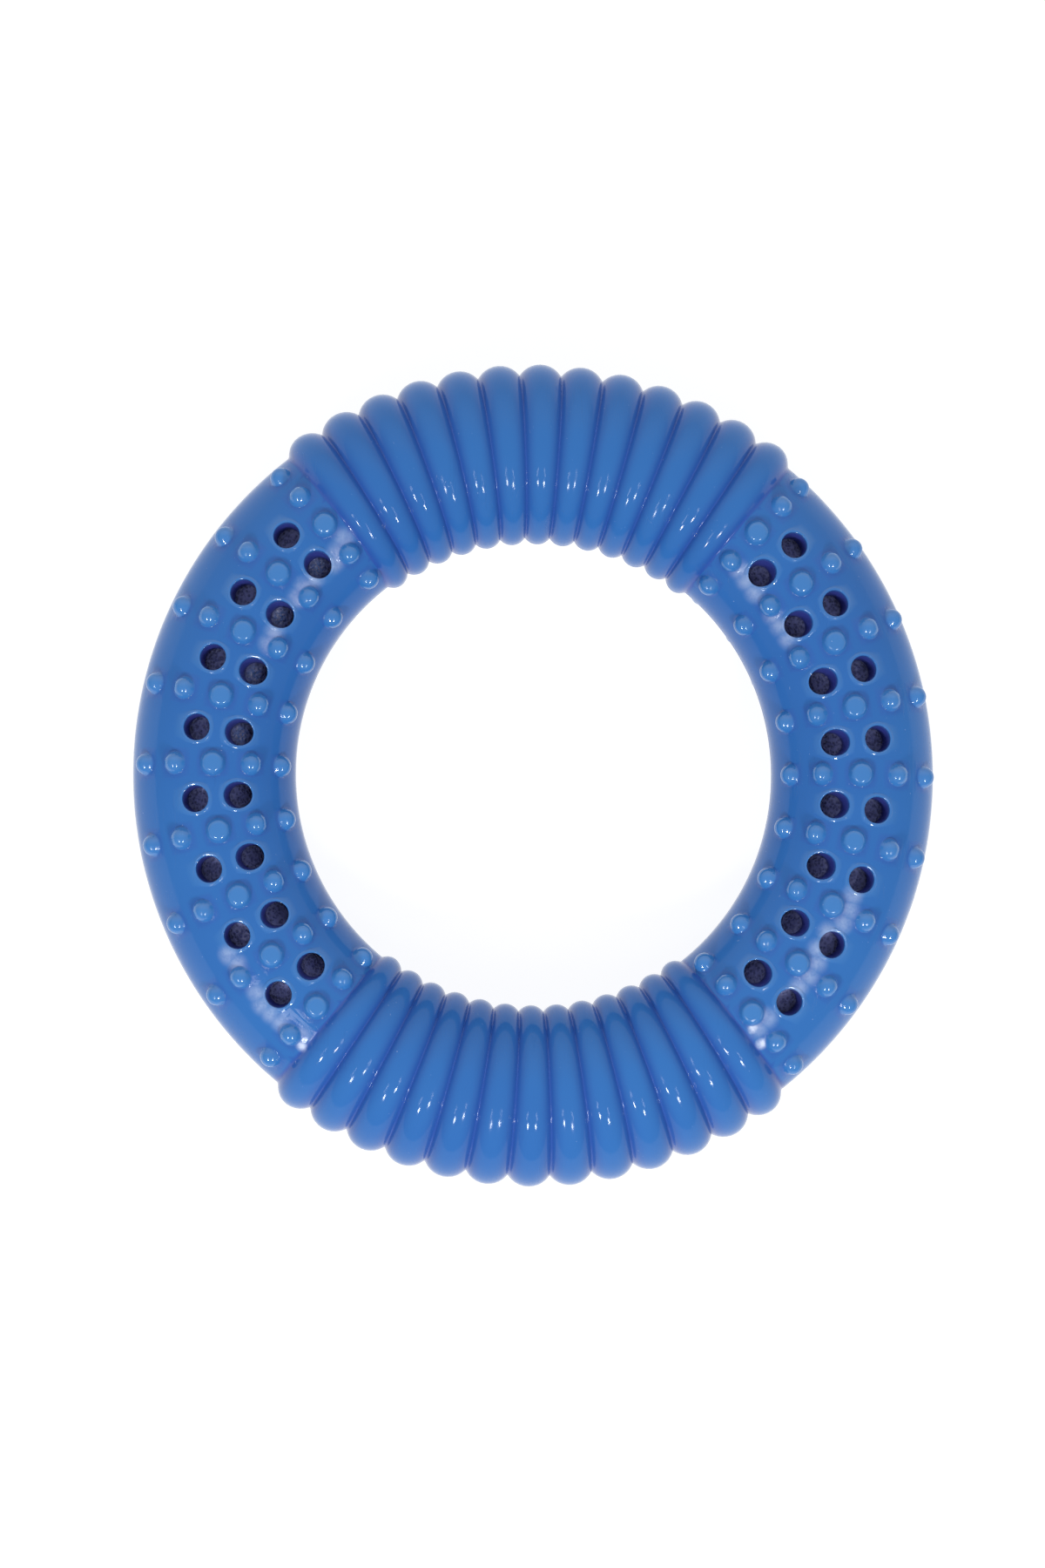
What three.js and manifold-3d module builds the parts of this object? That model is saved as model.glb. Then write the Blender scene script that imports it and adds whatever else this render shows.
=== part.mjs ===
// A ring-shaped cooling dog toy: a hollow rubber ring of two half shells, with sponge cores in its two
// perforated chambers. The ring lies flat. Z is its thickness, and it rests on the plane z = 0.
// Lengths are in millimetres and angles in degrees.

import * as THREE from 'three';
import { mergeVertices } from 'three/addons/utils/BufferGeometryUtils.js';
import Module from 'manifold-3d';

// Ring and tube
const ringRadius = 70; // from the ring's axis to the middle of the tube
const tubeRadius = 17.8; // the smooth tube, and the bottoms of the grooves between ribs
const wall = 5.5;

// Ribbed grips, at both ends of the Y axis
const ribCount = 13;
const ribPitch = 6;
const ribRise = 2.5; // at the outside of the ring, less towards its middle

// Perforated arcs, at both ends of the X axis
const nubRows = 9;
const nubRowMargin = 3; // from the last row of nubs to the grip
const nubsPerRow = 5; // on one shell
const nubSpacing = 27.3; // round the tube
const nubRadius = 2.45; // where it leaves the tube
const nubHeight = 2.2;
const nubTopRadius = 1.9;
const nubShoulder = 1.4; // height of the nub's side, below its domed top
const nubFlatDepth = 0.4; // how far the domes on the crown are levelled, so that the ring rests flat
const holeRadius = 2.8; // at the mouth
const holeLean = 9; // from upright, away from the ring's axis towards the mouth
const holeDraft = 4; // taper of its side, narrower towards the cavity
const holeOffset = 15.1; // round the tube, from midway between a pair of holes to each
const holeShift = 1.8; // round the tube, from its crown to midway between a pair, towards the ring's axis

// Inside
const bulkheadThickness = 2.5;
const spongeClearance = 0.3;

// Seam: a tongue on the upper shell in a groove of the lower one
const tongueWidth = 1.6;
const tongueHeight = 1.8;
const tongueClearance = 0.3;

// Facets
const sectionSteps = 9; // round the outside of one half shell
const cavitySides = 12; // round the whole cavity
const cavitySegments = 36; // round the ring
const arcSteps = 17; // along one perforated arc
const nubSides = 6;
const holeSides = 8;
const tongueSegments = 36;

// Worked out from the sizes above
const rad = THREE.MathUtils.degToRad;
const cavityRadius = tubeRadius - wall;
const restHeight = tubeRadius + nubHeight - nubFlatDepth; // from the seam to the resting plane
const gripSpan = ribCount * ribPitch;
const arcSpan = 180 - gripSpan;
const arcCentres = [0, 180];
const nubRowPitch = (arcSpan - 2 * nubRowMargin) / (nubRows - 1);
const farOut = 2 * (ringRadius + tubeRadius + ribRise); // clear of the whole ring
const buried = wall / 4; // how deep a nub's foot reaches into the wall

const rubber = new THREE.MeshStandardMaterial({ color: 0x3e70b5, roughness: 0.32, metalness: 0 });
const sponge = new THREE.MeshStandardMaterial({ color: 0x2b2d49, roughness: 0.95, metalness: 0 });

const wasm = await Module();
wasm.setup();

function toSolid(geometry) {
  const bare = geometry.clone();
  bare.deleteAttribute('normal');
  bare.deleteAttribute('uv');
  const { attributes, index } = mergeVertices(bare, 1e-3);
  return new wasm.Manifold(new wasm.Mesh({
    numProp: 3,
    vertProperties: new Float32Array(attributes.position.array),
    triVerts: new Uint32Array(index.array),
  }));
}

function toGeometry(solid) {
  const { vertProperties, triVerts } = solid.getMesh();
  const geometry = new THREE.BufferGeometry();
  geometry.setAttribute('position', new THREE.BufferAttribute(vertProperties, 3));
  geometry.setIndex(new THREE.BufferAttribute(triVerts, 1));
  geometry.computeVertexNormals();
  return geometry;
}

// A point at a radius from the tube's centre line. phi goes round the ring from the X axis. theta goes
// round the tube, from the outside of the ring at 0 over the crown at 90 to the inside at 180.
function tubePoint(phi, theta, radius) {
  const reach = ringRadius + radius * Math.cos(rad(theta));
  return new THREE.Vector3(
    reach * Math.cos(rad(phi)),
    reach * Math.sin(rad(phi)),
    radius * Math.sin(rad(theta)),
  );
}

// The ribs are as much lower as they are narrower towards the middle of the ring.
function ribHeight(theta) {
  const reach = ringRadius + tubeRadius * Math.cos(rad(theta));
  return ribRise * reach / (ringRadius + tubeRadius);
}

// Share of a rib's height at a place across it, from -1 to 1: an arc through both grooves and the crest.
function ribProfile(place) {
  const bulge = ribRise / ((ringRadius + tubeRadius) * Math.tan(rad(ribPitch / 2)));
  const arcRadius = (1 + bulge ** 2) / (2 * bulge);
  return (Math.sqrt(arcRadius ** 2 - place ** 2) - (arcRadius - bulge)) / bulge;
}

// The places round the ring where the outer skin has a section, with the ribs' share of height there.
function skinStations() {
  const stations = [];
  const ribPlaces = [-1, -0.6, 0, 0.6];
  for (const arcCentre of arcCentres) {
    for (let step = 0; step < arcSteps; step += 1) {
      stations.push({ phi: arcCentre + arcSpan * (step / arcSteps - 0.5), share: 0 });
    }
    for (let rib = 0; rib < ribCount; rib += 1) {
      for (const place of ribPlaces) {
        const phi = arcCentre + arcSpan / 2 + ribPitch * (rib + (place + 1) / 2);
        stations.push({ phi, share: ribProfile(place) });
      }
    }
  }
  return stations;
}

// The outside of one half shell, filled and flat on the seam. Its sections join up round the ring.
function skinGeometry() {
  const stations = skinStations();
  const row = sectionSteps + 1;
  const positions = [];
  const index = [];
  stations.forEach(({ phi, share }, station) => {
    const here = station * row;
    const next = ((station + 1) % stations.length) * row;
    for (let step = 0; step < row; step += 1) {
      const theta = 180 * step / sectionSteps;
      positions.push(...tubePoint(phi, theta, tubeRadius + share * ribHeight(theta)));
      const beside = (step + 1) % row;
      index.push(here + step, next + step, next + beside);
      index.push(here + step, next + beside, here + beside);
    }
  });
  const geometry = new THREE.BufferGeometry();
  geometry.setAttribute('position', new THREE.Float32BufferAttribute(positions, 3));
  geometry.setIndex(index);
  return geometry;
}

// A ring that a closed outline makes when it turns about the Z axis.
function turned(outline, segments) {
  const closed = [...outline, outline[0]];
  return new THREE.LatheGeometry(closed, segments).rotateX(Math.PI / 2);
}

// A round tube along the ring's centre line.
function coreRing(radius) {
  const outline = [];
  for (let side = 0; side < cavitySides; side += 1) {
    const theta = 2 * Math.PI * side / cavitySides;
    outline.push(new THREE.Vector2(ringRadius + radius * Math.cos(theta), radius * Math.sin(theta)));
  }
  return toSolid(turned(outline, cavitySegments));
}

// The four walls across the tube, where the grips meet the perforated arcs.
function bulkheads(thickness) {
  const plates = [];
  for (const arcCentre of arcCentres) {
    for (const end of [-1, 1]) {
      const plate = new THREE.BoxGeometry(farOut / 2, thickness, 2 * restHeight);
      plate.translate(farOut / 4, 0, 0).rotateZ(rad(arcCentre + end * arcSpan / 2));
      plates.push(toSolid(plate));
    }
  }
  return plates;
}

function nub(phi, theta) {
  const taper = (nubRadius - nubTopRadius) / nubShoulder;
  const outline = [
    new THREE.Vector2(0, -buried),
    new THREE.Vector2(nubRadius + buried * taper, -buried),
    new THREE.Vector2(nubTopRadius, nubShoulder),
    new THREE.Vector2(0, nubHeight),
  ];
  const foot = tubePoint(phi, theta, tubeRadius);
  const outward = foot.clone().sub(tubePoint(phi, theta, 0)).normalize();
  const dome = new THREE.LatheGeometry(outline, nubSides);
  dome.applyQuaternion(new THREE.Quaternion().setFromUnitVectors(new THREE.Vector3(0, 1, 0), outward));
  return toSolid(dome.translate(...foot));
}

function nubs() {
  const list = [];
  for (const arcCentre of arcCentres) {
    for (let row = 0; row < nubRows; row += 1) {
      for (let place = 0; place < nubsPerRow; place += 1) {
        const phi = arcCentre + (row - (nubRows - 1) / 2) * nubRowPitch;
        list.push(nub(phi, 90 + (place - (nubsPerRow - 1) / 2) * nubSpacing));
      }
    }
  }
  return list;
}

// Two tapered holes side by side across the crown, midway between each two rows of nubs. Each is cut by
// a pin that reaches as far out of its mouth as it reaches in.
function holes() {
  const list = [];
  const reach = wall + cavityRadius / 2;
  const widest = holeRadius + reach * Math.tan(rad(holeDraft));
  const narrowest = holeRadius - reach * Math.tan(rad(holeDraft));
  for (const arcCentre of arcCentres) {
    for (let row = 0; row < nubRows - 1; row += 1) {
      for (const side of [-1, 1]) {
        const phi = arcCentre + (row - (nubRows - 2) / 2) * nubRowPitch;
        const pin = new THREE.CylinderGeometry(widest, narrowest, 2 * reach, holeSides);
        pin.rotateX(Math.PI / 2).rotateY(rad(holeLean)).rotateZ(rad(phi));
        const theta = 90 + holeShift + side * holeOffset;
        list.push(toSolid(pin.translate(...tubePoint(phi, theta, tubeRadius))));
      }
    }
  }
  return list;
}

// Two rings in the middle of the wall, one outside and one inside the cavity, astride the seam.
function seamRings(width, depth, overlap) {
  return [-1, 1].map((side) => {
    const middle = ringRadius + side * (cavityRadius + wall / 2);
    const outline = [
      new THREE.Vector2(middle - width / 2, -depth),
      new THREE.Vector2(middle + width / 2, -depth),
      new THREE.Vector2(middle + width / 2, overlap),
      new THREE.Vector2(middle - width / 2, overlap),
    ];
    return toSolid(turned(outline, tongueSegments));
  });
}

function box(low, high) {
  const size = new THREE.Vector3().subVectors(high, low);
  const middle = new THREE.Vector3().addVectors(low, high).divideScalar(2);
  return toSolid(new THREE.BoxGeometry(...size).translate(...middle));
}

// Everything between the seam and the plane that the ring rests on.
function shellSpace() {
  const low = new THREE.Vector3(-farOut, -farOut, 0);
  const high = new THREE.Vector3(farOut, farOut, restHeight);
  return box(low, high);
}

// One half shell without its seam, standing on z = 0.
function halfShell() {
  const chambers = bulkheads(bulkheadThickness).reduce((core, plate) => core.subtract(plate),
    coreRing(cavityRadius));
  const studded = nubs().reduce((body, dome) => body.add(dome), toSolid(skinGeometry()));
  const hollow = studded.intersect(shellSpace()).subtract(chambers);
  return holes().reduce((body, pin) => body.subtract(pin), hollow);
}

// The part of the core that lies in one perforated arc, clear of the walls at its ends.
function spongeCore(arcCentre) {
  const edge = rad(arcSpan / 2);
  const sector = new THREE.Shape();
  sector.moveTo(0, 0);
  sector.lineTo(farOut * Math.cos(edge), -farOut * Math.sin(edge));
  sector.lineTo(farOut, 0);
  sector.lineTo(farOut * Math.cos(edge), farOut * Math.sin(edge));
  sector.closePath();
  const wedge = new THREE.ExtrudeGeometry(sector, { depth: 2 * restHeight, bevelEnabled: false });
  wedge.translate(0, 0, -restHeight).rotateZ(rad(arcCentre));
  const plates = bulkheads(bulkheadThickness + 2 * spongeClearance);
  const ring = coreRing(cavityRadius - spongeClearance).intersect(toSolid(wedge));
  return plates.reduce((core, plate) => core.subtract(plate), ring);
}

function piece(name, solid, material) {
  const mesh = new THREE.Mesh(toGeometry(solid), material);
  mesh.name = name;
  mesh.position.z = restHeight;
  return mesh;
}

const toy = new THREE.Group();
const half = halfShell();

const tongues = seamRings(tongueWidth, tongueHeight, wall / 4);
const upperShell = tongues.reduce((body, ring) => body.add(ring), half);
toy.add(piece('upper_shell', upperShell, rubber));

const grooves = seamRings(tongueWidth + 2 * tongueClearance, wall / 4, tongueHeight + tongueClearance);
const lowerShell = grooves.reduce((body, ring) => body.subtract(ring), half);
const lower = piece('lower_shell', lowerShell, rubber);
lower.rotation.x = Math.PI;
toy.add(lower);

toy.add(piece('right_sponge', spongeCore(arcCentres[0]), sponge));
toy.add(piece('left_sponge', spongeCore(arcCentres[1]), sponge));

export default toy;
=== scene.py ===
"""Looks of a ring-shaped cooling dog toy: glossy rubber half shells round wet sponge cores."""

import logging
import math
from dataclasses import dataclass
from enum import Enum
from typing import Any

import bmesh
import bpy
import numpy as np
from mathutils import Matrix, Vector, noise

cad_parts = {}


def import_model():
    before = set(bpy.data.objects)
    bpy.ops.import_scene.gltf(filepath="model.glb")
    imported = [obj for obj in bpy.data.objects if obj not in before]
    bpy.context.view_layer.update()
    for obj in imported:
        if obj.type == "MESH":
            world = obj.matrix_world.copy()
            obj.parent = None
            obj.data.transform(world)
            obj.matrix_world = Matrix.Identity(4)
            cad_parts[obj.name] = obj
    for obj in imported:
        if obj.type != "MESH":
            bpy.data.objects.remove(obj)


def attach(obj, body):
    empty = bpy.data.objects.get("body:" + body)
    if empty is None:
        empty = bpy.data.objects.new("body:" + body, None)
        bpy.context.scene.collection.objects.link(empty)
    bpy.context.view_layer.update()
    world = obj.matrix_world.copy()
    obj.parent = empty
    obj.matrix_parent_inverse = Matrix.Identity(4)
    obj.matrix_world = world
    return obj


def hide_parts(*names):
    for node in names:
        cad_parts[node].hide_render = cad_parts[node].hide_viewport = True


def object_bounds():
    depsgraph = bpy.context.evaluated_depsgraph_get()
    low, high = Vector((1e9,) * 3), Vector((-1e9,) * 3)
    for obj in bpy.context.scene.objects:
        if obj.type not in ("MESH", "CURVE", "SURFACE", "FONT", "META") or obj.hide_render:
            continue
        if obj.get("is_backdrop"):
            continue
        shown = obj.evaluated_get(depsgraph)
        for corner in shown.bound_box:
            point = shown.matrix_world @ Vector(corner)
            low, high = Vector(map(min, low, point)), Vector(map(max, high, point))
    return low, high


BODY = "root"
WELD = 1e-6
SHARP_DEGREES = 50.0
WHITE = (1.0, 1.0, 1.0, 1.0)

Array = np.ndarray
Number = float | Array
Colour = tuple[int, int, int]
Range = tuple[float, float]
Places = tuple[tuple[float, float], ...]
log = logging.getLogger("dog_toy")


# Shader graphs


class Socket:
    """A node's output, on which Python's operators add Math nodes."""

    def __init__(self, graph: "Graph", output: bpy.types.NodeSocket) -> None:
        """Keeps the output and the graph that it belongs to."""
        self.graph = graph
        self.output = output

    def __add__(self, other: "Value") -> "Socket":
        """This plus other."""
        return self.graph.math("ADD", self, other)

    def __radd__(self, other: "Value") -> "Socket":
        """Other plus this."""
        return self.graph.math("ADD", other, self)

    def __sub__(self, other: "Value") -> "Socket":
        """This minus other."""
        return self.graph.math("SUBTRACT", self, other)

    def __rsub__(self, other: "Value") -> "Socket":
        """Other minus this."""
        return self.graph.math("SUBTRACT", other, self)

    def __mul__(self, other: "Value") -> "Socket":
        """This times other."""
        return self.graph.math("MULTIPLY", self, other)

    def __rmul__(self, other: "Value") -> "Socket":
        """Other times this."""
        return self.graph.math("MULTIPLY", other, self)

    def ramp(self, low: float, high: float, least: float = 0.0) -> "Socket":
        """Goes smoothly from least where this is at low to 1 where it is at high."""
        spread = {"From Min": low, "From Max": high, "To Min": least, "Value": self}
        return self.graph.add("ShaderNodeMapRange", {"interpolation_type": "SMOOTHSTEP"}, spread)


Value = Socket | float | tuple[float, ...]


@dataclass(frozen=True)
class Pattern:
    """Soft noise that runs from least, where it is at low or under, to 1, where it is at high or over."""

    size: float
    low: float
    high: float
    octaves: float = 2.0
    roughness: float = 0.5
    least: float = 0.0


class Graph:
    """The node tree of one material or world."""

    def __init__(self, owner: bpy.types.Material | bpy.types.World) -> None:
        """Empties the owner's tree, and starts it with the places or directions that it colours.

        Args:
            owner: what the tree belongs to.
        """
        self.owner = owner
        owner.use_nodes = True
        self.tree = owner.node_tree
        self.tree.nodes.clear()
        places = "Object" if isinstance(owner, bpy.types.Material) else "Generated"
        self.place = self.add("ShaderNodeTexCoord", output=places)

    def node(self, kind: str, settings: dict[str, Any] | None = None,
             inputs: dict[str | int, Value] | None = None) -> bpy.types.Node:
        """Adds a node.

        Args:
            kind: the node's type.
            settings: the node's own settings, which are set first.
            inputs: values or links of its sockets, by name or number.

        Returns:
            The node.
        """
        made = self.tree.nodes.new(kind)
        for name, value in (settings or {}).items():
            setattr(made, name, value)
        for key, value in (inputs or {}).items():
            if isinstance(value, Socket):
                self.tree.links.new(value.output, made.inputs[key])
            else:
                made.inputs[key].default_value = value
        return made

    def add(self, kind: str, settings: dict[str, Any] | None = None,
            inputs: dict[str | int, Value] | None = None, output: str | int = 0) -> Socket:
        """Adds a node and gives one of its outputs, the first unless another is asked for."""
        return Socket(self, self.node(kind, settings, inputs).outputs[output])

    def math(self, operation: str, first: Value, second: Value = 0.0) -> Socket:
        """Adds a Math node."""
        return self.add("ShaderNodeMath", {"operation": operation}, {0: first, 1: second})

    def most(self, *values: Value) -> Socket:
        """The largest of some masks.

        Args:
            values: the masks, none of them below 0.

        Returns:
            The mask that they make together.
        """
        most = self.math("MAXIMUM", *values[:2])
        for value in values[2:]:
            most = self.math("MAXIMUM", most, value)
        return most

    def blend(self, share: Value, first: Value, second: Value) -> Socket:
        """Mixes two colours, the second by share."""
        return self.add("ShaderNodeMix", {"data_type": "RGBA"}, {0: share, 6: first, 7: second}, 2)

    def mark(self, mark: "Mark") -> Socket:
        """Reads one of the mesh's own marks."""
        return self.add("ShaderNodeAttribute", {"attribute_name": mark.value}, None, "Fac")

    def noise(self, size: float, detail: float = 2.0, roughness: float = 0.5,
              place: Socket | None = None) -> Socket:
        """Soft noise, from 0 to 1.

        Args:
            size: the width of its spots, in metres.
            detail: octaves.
            roughness: how strong the finer octaves are.
            place: coordinates, where they aren't the object's own.

        Returns:
            The noise.
        """
        inputs = {"Vector": place or self.place, "Scale": 1 / size, "Detail": detail, "Roughness": roughness}
        return self.add("ShaderNodeTexNoise", None, inputs)

    def pattern(self, pattern: Pattern) -> Socket:
        """Soft noise as the pattern says."""
        value = self.noise(pattern.size, pattern.octaves, pattern.roughness)
        return value.ramp(pattern.low, pattern.high, pattern.least)

    def shift(self, scale: tuple[float, float, float], turn: tuple[float, float, float]) -> Socket:
        """The object's coordinates, turned and scaled along each axis."""
        inputs = {"Vector": self.place, "Rotation": turn, "Scale": scale}
        return self.add("ShaderNodeMapping", None, inputs)

    def spots(self, middles: list[tuple[float, ...]], reach: float) -> Socket:
        """A soft mask that is highest in the middle of each spot.

        Args:
            middles: where the spots are.
            reach: how far each one reaches, in metres.

        Returns:
            The mask, from 0 to 1.
        """
        masks = []
        for middle in middles:
            inputs: dict[str | int, Value] = {0: self.place, 1: middle}
            distance = self.add("ShaderNodeVectorMath", {"operation": "DISTANCE"}, inputs, "Value")
            masks.append(1 - distance.ramp(0.0, reach))
        return self.most(*masks)

    def bump(self, height: Socket, depth: float, under: Socket | None = None) -> Socket:
        """Turns a height from 0 to 1 into a normal.

        Args:
            height: the relief.
            depth: how deep the relief is, in metres.
            under: the normal of a coarser relief that this one lies on.

        Returns:
            The normal.
        """
        inputs: dict[str | int, Value] = {"Height": height, "Distance": depth, "Strength": 1.0}
        if under is not None:
            inputs["Normal"] = under
        return self.add("ShaderNodeBump", None, inputs)

    def finish(self, inputs: dict[str | int, Value]) -> bpy.types.Material:
        """Ends the material with a Principled surface.

        Args:
            inputs: values or links of the surface's sockets, by name.

        Returns:
            The material.
        """
        surface = self.add("ShaderNodeBsdfPrincipled", None, inputs)
        self.node("ShaderNodeOutputMaterial", None, {"Surface": surface})
        return self.owner


def colour(red: int, green: int, blue: int) -> tuple[float, float, float, float]:
    """Turns a colour as a screen shows it, 0 to 255, into the linear one that shaders take."""
    levels = [((c / 255 + 0.055) / 1.055) ** 2.4 if c > 10 else c / 255 / 12.92 for c in (red, green, blue)]
    return (*levels, 1.0)


# Meshes


class Mark(Enum):
    """What a point of a shell belongs to, kept on the mesh for its finish."""

    # The finish paints light on NUB, shade on FOOT and GROOVE, a highlight on RIM, and partly shade on
    # INSIDE.
    NUB = "nub"
    FOOT = "foot"
    GROOVE = "groove"
    RIM = "rim"
    INSIDE = "inside"


@dataclass
class Patch:
    """A piece of surface: its points, its faces by point numbers, and its marks."""

    points: Array
    faces: list[Array]
    marks: dict[Mark, Array]

    @classmethod
    def sheet(cls, points: Array, closed: bool = False, **marks: Number) -> "Patch":
        """Makes a sheet of rows of points.

        Args:
            points: rows by columns by three.
            closed: whether each row goes round and meets its own start.
            marks: a mark's value by its name in capitals, one number or one per point.

        Returns:
            The patch.
        """
        rows, columns = points.shape[:2]
        number = np.arange(rows * columns).reshape(rows, columns)
        if closed:
            number = np.hstack([number, number[:, :1]])
        quads = np.stack([number[:-1, :-1], number[:-1, 1:], number[1:, 1:], number[1:, :-1]], axis=-1)
        given = {Mark[name]: np.broadcast_to(value, (rows, columns)).ravel()
                 for name, value in marks.items()}
        return cls(points.reshape(-1, 3), [quads.reshape(-1, 4)], given)

    @classmethod
    def lid(cls, outline: Array, **marks: Number) -> "Patch":
        """Makes one flat face inside a closed outline."""
        given = {Mark[name]: np.full(len(outline), value) for name, value in marks.items()}
        return cls(outline, [np.arange(len(outline))[None, :]], given)

    @classmethod
    def fan(cls, outline: Array, tip: Array, **marks: Number) -> "Patch":
        """Makes triangles from a closed outline to a tip.

        Args:
            outline: the points round it.
            tip: the point in the middle.
            marks: a mark's value by its name in capitals, one number each.

        Returns:
            The patch.
        """
        count = len(outline)
        number = np.arange(count)
        threes = np.stack([number, (number + 1) % count, np.full(count, count)], axis=-1)
        given = {Mark[name]: np.full(count + 1, value) for name, value in marks.items()}
        return cls(np.vstack([outline, tip]), [threes], given)

    def turned(self, degrees: float) -> "Patch":
        """The same patch further round the ring.

        Args:
            degrees: how much further.

        Returns:
            A new patch, with the same faces and marks.
        """
        cos, sin = math.cos(math.radians(degrees)), math.sin(math.radians(degrees))
        turn = np.array([[cos, -sin, 0.0], [sin, cos, 0.0], [0.0, 0.0, 1.0]])
        return Patch(self.points @ turn.T, self.faces, self.marks)


def weld(name: str, patches: list[Patch]) -> bpy.types.Object:
    """Joins patches where their points meet, and makes them one smooth closed piece.

    Args:
        name: the piece's name.
        patches: what it is made of.

    Returns:
        The new object.
    """
    points = np.vstack([patch.points for patch in patches])
    _, first, same = np.unique(np.round(points / WELD).astype(np.int64), axis=0, return_index=True,
                               return_inverse=True)
    same = same.ravel()
    faces: list[list[int]] = []
    start = 0
    for patch in patches:
        for block in patch.faces:
            faces += same[block + start].tolist()
        start += len(patch.points)
    mesh = bpy.data.meshes.new(name)
    mesh.from_pydata(points[first].tolist(), [], faces)
    for mark in Mark:
        values = np.concatenate([patch.marks.get(mark, np.zeros(len(patch.points))) for patch in patches])
        strongest = np.zeros(len(first))
        np.maximum.at(strongest, same, values)
        mesh.attributes.new(mark.value, "FLOAT", "POINT").data.foreach_set("value", strongest)
    outward(mesh)
    mesh.shade_smooth()
    mesh.set_sharp_from_angle(angle=math.radians(SHARP_DEGREES))
    piece = bpy.data.objects.new(name, mesh)
    bpy.context.scene.collection.objects.link(piece)
    return piece


def outward(mesh: bpy.types.Mesh) -> None:
    """Turns all faces outward, and logs how many edges are open or shared by more than two faces.

    Args:
        mesh: the mesh of one closed piece.
    """
    work = bmesh.new()
    work.from_mesh(mesh)
    bmesh.ops.recalc_face_normals(work, faces=work.faces)
    odd = sum(len(edge.link_faces) != 2 for edge in work.edges)
    work.to_mesh(mesh)
    work.free()
    log.info("%s: %d faces, %d odd edges", mesh.name, len(mesh.polygons), odd)


def smooth_most(first: Array, second: Number, reach: float) -> Array:
    """The larger of two values, with a soft turn where they are closer than reach."""
    close = np.clip(reach - np.abs(first - second), 0, None) / reach
    return np.maximum(first, second) + close**2 * reach / 4


def stand_for(piece: bpy.types.Object, node: str, material: bpy.types.Material) -> None:
    """Gives a piece its finish, and ties it to the node that it stands for.

    Args:
        piece: the piece.
        node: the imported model's node.
        material: the finish.
    """
    piece.data.materials.append(material)
    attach(piece, BODY)
    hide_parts(node)


# The ring


@dataclass(frozen=True)
class Tube:
    """The ring's hollow tube, in a frame with its seam at z = 0. Angles are in degrees."""

    ring_radius: float = 0.070
    radius: float = 0.0178
    wall: float = 0.0055
    meeting_steps: int = 8

    @property
    def cavity(self) -> float:
        """Radius of the hollow."""
        return self.radius - self.wall

    def point(self, phi: Number, theta: Number, radius: Number) -> Array:
        """Places points by their angles.

        Args:
            phi: round the ring, from the X axis.
            theta: round the tube, 0 outside, 90 on the crown and 180 inside the ring.
            radius: distance from the tube's centre line.

        Returns:
            The points, with x, y and z last.
        """
        around, across, radius = np.broadcast_arrays(np.radians(phi), np.radians(theta), radius)
        reach = self.ring_radius + radius * np.cos(across)
        return np.stack([reach * np.cos(around), reach * np.sin(around), radius * np.sin(across)], axis=-1)

    def spots(self, places: Places, radius: float, seam_height: float) -> list[tuple[float, ...]]:
        """Places on the upper half, by phi and theta, where the ring lies with its seam at a height."""
        points = self.point(*np.transpose(places), radius)
        return [(x, y, z + seam_height) for x, y, z in points.tolist()]

    def between(self, first: Array, second: Array, shares: tuple[float, ...], radius: float) -> list[Array]:
        """Loops of points on a surface, by shares of the way from one loop's angles to another's."""
        return [self.point(*((1 - s) * first + s * second).T, radius) for s in shares]

    def angles(self, points: Array) -> Array:
        """The phi and theta of points, last."""
        x, y, z = np.moveaxis(points, -1, 0)
        return np.degrees(np.stack([np.arctan2(y, x), np.arctan2(z, np.hypot(x, y) - self.ring_radius)], -1))

    def meet(self, start: Array, along: Array, radius: float, guess: float = 0.0) -> Array:
        """How far lines go until they meet the tube's skin or its hollow.

        Args:
            start: where the lines start.
            along: their directions.
            radius: the surface's distance from the centre line.
            guess: about how far it is.

        Returns:
            The distances, in lengths of the directions.
        """
        far = np.full(start.shape[:-1], guess)
        for _ in range(self.meeting_steps):
            point = start + far[..., None] * along
            reach = np.hypot(point[..., 0], point[..., 1])
            beside = reach - self.ring_radius
            distance = np.hypot(beside, point[..., 2])
            sideways = (point[..., 0] * along[..., 0] + point[..., 1] * along[..., 1]) / reach
            slope = (beside * sideways + point[..., 2] * along[..., 2]) / distance
            far = far - (distance - radius) / slope
        return far


@dataclass(frozen=True)
class Rows:
    """Where the surfaces have a row of points round the tube, in degrees."""

    nubs_across: int = 5
    nub_spacing: float = 27.3
    hole_reach: float = 1.5
    steps_per_block: int = 4
    outer_margin_rows: tuple[float, ...] = (0.0, 0.6, 1.2, 3.5, 7.0, 10.5, 14.5, 18.0)
    inner_margin_rows: tuple[float, ...] = (0.0, 3.5, 7.0, 10.5, 14.5, 18.0)
    coarse_steps: int = 12

    @property
    def nubbed(self) -> float:
        """From the crown to where the stretches of skin with nubs end."""
        return self.nubs_across / 2 * self.nub_spacing

    @property
    def holed(self) -> float:
        """From the crown to where the stretches of skin with holes end."""
        return self.hole_reach * self.nub_spacing

    @property
    def margin(self) -> float:
        """From the seam to the first nub's stretch of skin."""
        return 90 - self.nubbed

    @property
    def block(self) -> float:
        """Half the stretch of skin round a nub."""
        return self.nub_spacing / 2

    def outside(self, rows: Array, reach: float) -> tuple[Array, Array]:
        """The rows at reach from the crown and beyond it, on the outer and on the inner side."""
        return rows[rows < 90 - reach + WELD], rows[rows > 90 + reach - WELD]

    def between(self, low: float, high: float) -> Array:
        """Rows of one stretch between the margins."""
        return np.linspace(low, high, 1 + round((high - low) / self.block * self.steps_per_block))

    def full(self, edge_rows: tuple[float, ...]) -> Array:
        """All rows from seam to seam."""
        edge = np.array(edge_rows)
        return np.concatenate([edge, self.between(self.margin, 180 - self.margin), 180 - edge[::-1]])


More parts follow.
